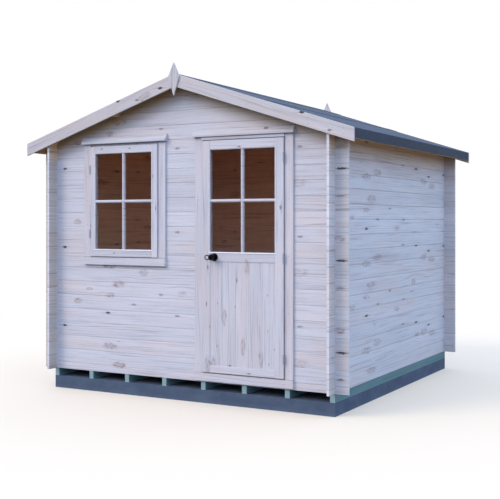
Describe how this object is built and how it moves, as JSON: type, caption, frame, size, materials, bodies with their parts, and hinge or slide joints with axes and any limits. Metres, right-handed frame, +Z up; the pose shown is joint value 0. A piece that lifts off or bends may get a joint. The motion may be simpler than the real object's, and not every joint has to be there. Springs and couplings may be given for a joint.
{
  "type": "log cabin",
  "caption": "Garden log cabin of interlocking logs on bearers and a plinth, with a felted gable roof, a half-glazed door that opens outward and a fixed window.",
  "frame": {"origin": "middle of the plan on the underside of the plinth", "axes": "+X to the right of someone facing the door, +Y from the front to the back, +Z up"},
  "size_m": [2.872, 2.764, 2.5315],
  "materials": {
    "logs": "pale whitewashed softwood logs with fine grain and knots",
    "joinery": "pale whitewashed planed softwood",
    "inner_timber": "bare softwood boards",
    "treated_timber": "pressure treated softwood, blue green",
    "felt": "mineral faced bitumen roofing felt, slate blue",
    "plinth": "smooth dark slate grey concrete",
    "glass": "clear",
    "hinges": "dark grey satin",
    "black_iron": "black satin"
  },
  "bodies": {
    "cabin": {"plinth": "plinth", "bearers": "treated_timber", "floor": "inner_timber", "left_wall": "logs", "right_wall": "logs", "back_wall": "logs", "back_gable": "logs", "front_wall_lower": "logs", "front_wall_left": "logs", "front_wall_middle": "logs", "front_wall_right": "logs", "front_gable": "logs", "ridge_purlin": "inner_timber", "side_purlins": "inner_timber", "roof_deck_left": "inner_timber", "roof_deck_right": "inner_timber", "eaves_boards": "inner_timber", "roof_felt_left": "felt", "roof_felt_right": "felt", "ridge_felt": "felt", "front_barges": "joinery", "back_barges": "joinery", "front_finial": "joinery", "back_finial": "joinery", "door_frame": "joinery", "door_stops": "joinery", "door_trims": "joinery", "door_sill": "joinery", "door_hood": "joinery", "door_hinges_fixed": "hinges", "window_frame": "joinery", "window_trims": "joinery", "window_sill": "joinery", "window_hood": "joinery", "window_sash": "joinery", "window_glass": "glass", "window_hinges": "hinges"},
    "door": {"door_leaf": "joinery", "door_panel": "joinery", "door_glass": "glass", "door_hinges_moving": "hinges", "door_rose": "black_iron"},
    "knob": {"door_knob": "black_iron", "door_key": "black_iron"}
  },
  "joints": [
    {"name": "door_hinge", "type": "hinge", "parent": "cabin", "child": "door", "pos_m": [0.8625, -1.2806, 1.093], "axis": [0, 0, 1], "range_deg": [0, 150]},
    {"name": "knob_turn", "type": "hinge", "parent": "door", "child": "knob", "pos_m": [0.29, -1.3, 1.089], "axis": [0, -1, 0], "range_deg": [-45, 45], "stiffness_Nm_per_rad": 0.4}
  ]
}
